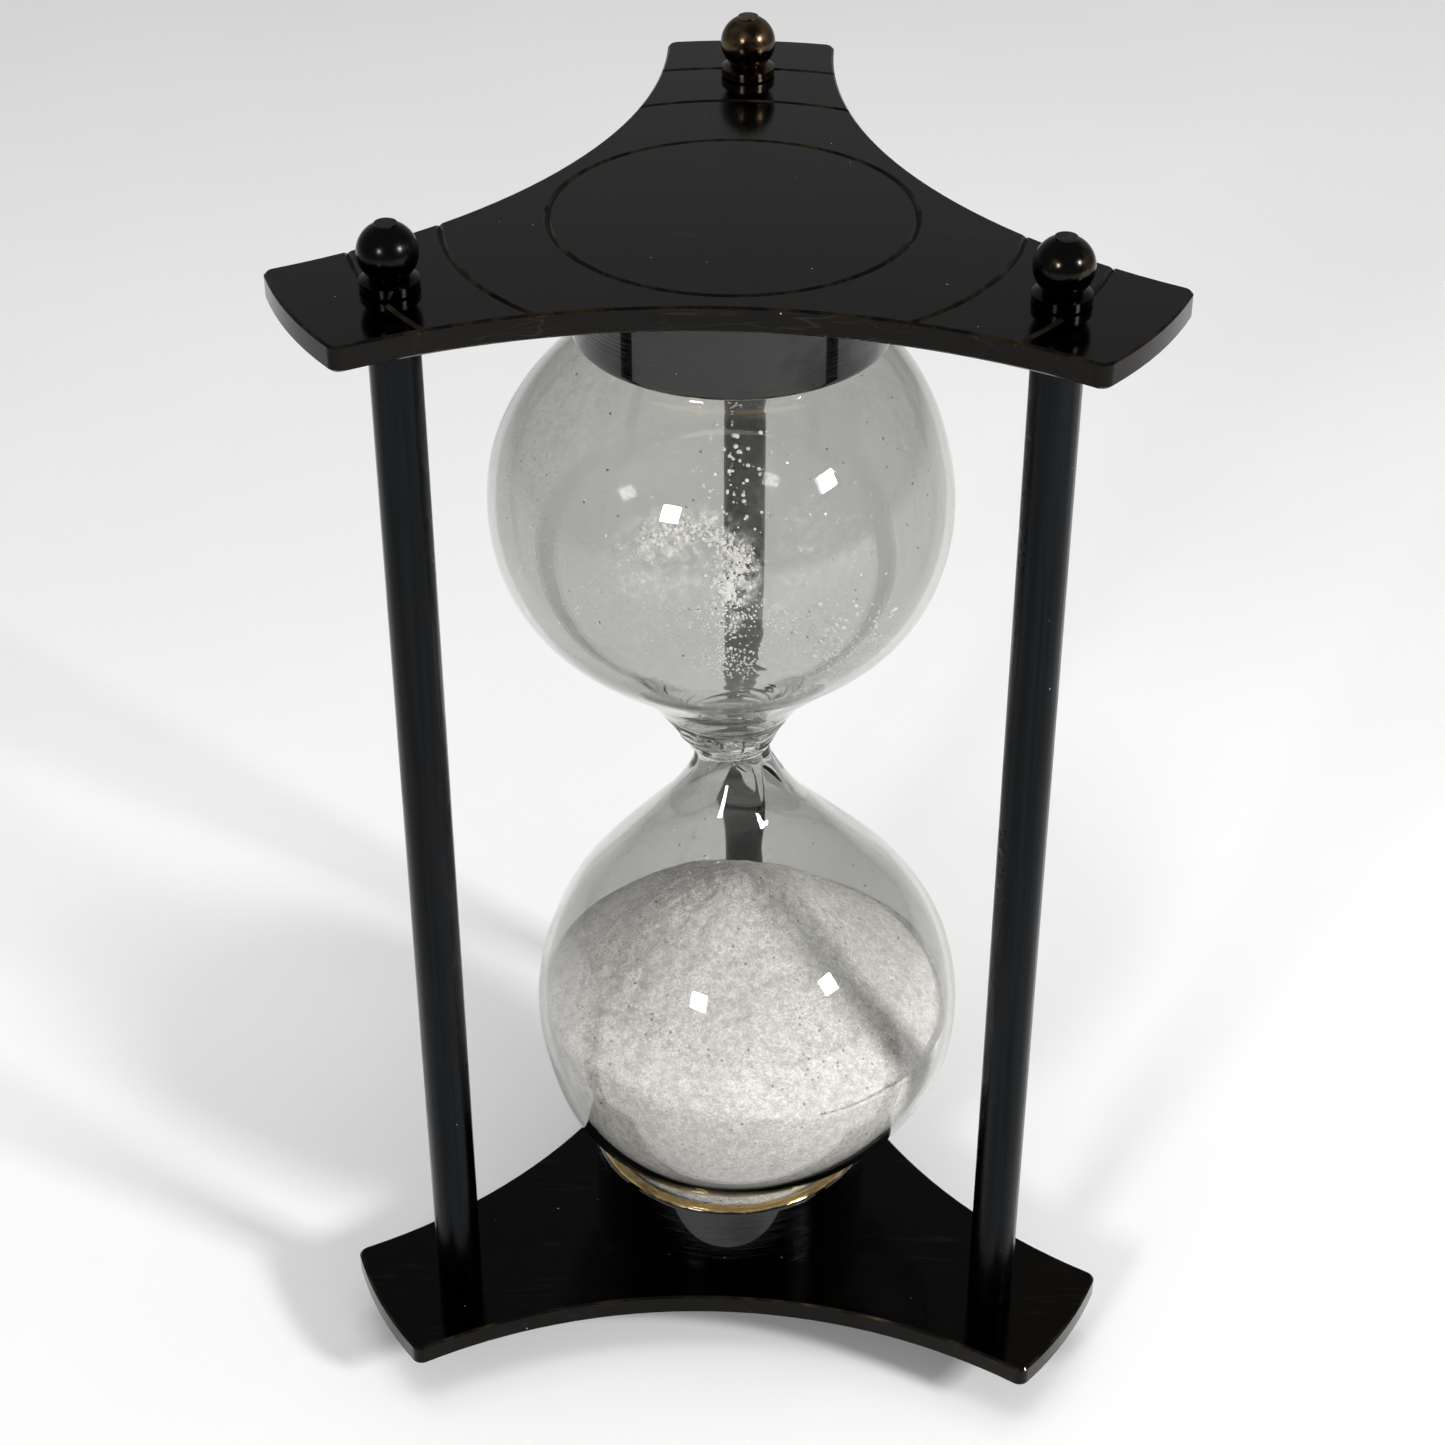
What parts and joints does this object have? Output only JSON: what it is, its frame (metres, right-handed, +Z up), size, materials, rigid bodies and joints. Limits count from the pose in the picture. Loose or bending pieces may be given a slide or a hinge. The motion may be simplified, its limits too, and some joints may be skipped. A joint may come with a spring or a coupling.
{
  "type": "hourglass",
  "caption": "Sand glass with two blown bulbs seated in turned cups between three-armed blackened brass plates, joined by round posts with ball nuts.",
  "frame": {"origin": "on the glass's axis, in the plane of the three lower ball nuts' tips that the sand glass stands on", "axes": "+Z up along the glass's axis; +Y towards the back post, so the front of the object, between the other two posts, faces -Y; +X to the right seen from the front"},
  "size_m": [0.1452, 0.1274, 0.2394],
  "materials": {
    "blackened_brass": "gloss",
    "blackened_post": "gloss",
    "worn_brass": "gloss",
    "steel": "satin",
    "cork": "matte",
    "glass": "gloss",
    "sand": "matte"
  },
  "bodies": {
    "root": {"lower_plate": "blackened_brass", "upper_plate": "blackened_brass", "lower_cup": "blackened_brass", "upper_cup": "blackened_brass", "lower_cup_screw": "steel", "upper_cup_screw": "steel", "lower_pad": "cork", "upper_pad": "cork", "lower_bulb": "glass", "upper_bulb": "glass", "sand": "sand", "post_front_left": "blackened_post", "post_front_right": "blackened_post", "post_back": "blackened_post"},
    "lower_stud_front_left": {"lower_stud_front_left": "steel"},
    "lower_ball_nut_front_left": {"lower_ball_nut_front_left": "worn_brass"},
    "lower_stud_front_right": {"lower_stud_front_right": "steel"},
    "lower_ball_nut_front_right": {"lower_ball_nut_front_right": "worn_brass"},
    "lower_stud_back": {"lower_stud_back": "steel"},
    "lower_ball_nut_back": {"lower_ball_nut_back": "worn_brass"},
    "upper_stud_front_left": {"upper_stud_front_left": "steel"},
    "upper_ball_nut_front_left": {"upper_ball_nut_front_left": "worn_brass"},
    "upper_stud_front_right": {"upper_stud_front_right": "steel"},
    "upper_ball_nut_front_right": {"upper_ball_nut_front_right": "worn_brass"},
    "upper_stud_back": {"upper_stud_back": "steel"},
    "upper_ball_nut_back": {"upper_ball_nut_back": "worn_brass"}
  },
  "joints": [
    {"name": "lower_front_left_rise", "type": "slide", "parent": "root", "child": "lower_stud_front_left", "axis": [0, 0, -1], "range_m": [0, 0.0098]},
    {"name": "lower_front_left_turn", "type": "hinge", "parent": "lower_stud_front_left", "child": "lower_ball_nut_front_left", "pos_m": [-0.05196, -0.03, 0], "axis": [0, 0, -1], "range_deg": [0, 5040]},
    {"name": "lower_front_right_rise", "type": "slide", "parent": "root", "child": "lower_stud_front_right", "axis": [0, 0, -1], "range_m": [0, 0.0098]},
    {"name": "lower_front_right_turn", "type": "hinge", "parent": "lower_stud_front_right", "child": "lower_ball_nut_front_right", "pos_m": [0.05196, -0.03, 0], "axis": [0, 0, -1], "range_deg": [0, 5040]},
    {"name": "lower_back_rise", "type": "slide", "parent": "root", "child": "lower_stud_back", "axis": [0, 0, -1], "range_m": [0, 0.0098]},
    {"name": "lower_back_turn", "type": "hinge", "parent": "lower_stud_back", "child": "lower_ball_nut_back", "pos_m": [0, 0.06, 0], "axis": [0, 0, -1], "range_deg": [0, 5040]},
    {"name": "upper_front_left_rise", "type": "slide", "parent": "root", "child": "upper_stud_front_left", "axis": [0, 0, 1], "range_m": [0, 0.0098]},
    {"name": "upper_front_left_turn", "type": "hinge", "parent": "upper_stud_front_left", "child": "upper_ball_nut_front_left", "pos_m": [-0.05196, -0.03, 0.23941], "axis": [0, 0, 1], "range_deg": [0, 5040]},
    {"name": "upper_front_right_rise", "type": "slide", "parent": "root", "child": "upper_stud_front_right", "axis": [0, 0, 1], "range_m": [0, 0.0098]},
    {"name": "upper_front_right_turn", "type": "hinge", "parent": "upper_stud_front_right", "child": "upper_ball_nut_front_right", "pos_m": [0.05196, -0.03, 0.23941], "axis": [0, 0, 1], "range_deg": [0, 5040]},
    {"name": "upper_back_rise", "type": "slide", "parent": "root", "child": "upper_stud_back", "axis": [0, 0, 1], "range_m": [0, 0.0098]},
    {"name": "upper_back_turn", "type": "hinge", "parent": "upper_stud_back", "child": "upper_ball_nut_back", "pos_m": [0, 0.06, 0.23941], "axis": [0, 0, 1], "range_deg": [0, 5040]}
  ],
  "couplings": [
    {"joint": "lower_front_left_turn", "follows": "lower_front_left_rise", "rad_per_m": 8976},
    {"joint": "lower_front_right_turn", "follows": "lower_front_right_rise", "rad_per_m": 8976},
    {"joint": "lower_back_turn", "follows": "lower_back_rise", "rad_per_m": 8976},
    {"joint": "upper_front_left_turn", "follows": "upper_front_left_rise", "rad_per_m": 8976},
    {"joint": "upper_front_right_turn", "follows": "upper_front_right_rise", "rad_per_m": 8976},
    {"joint": "upper_back_turn", "follows": "upper_back_rise", "rad_per_m": 8976}
  ]
}
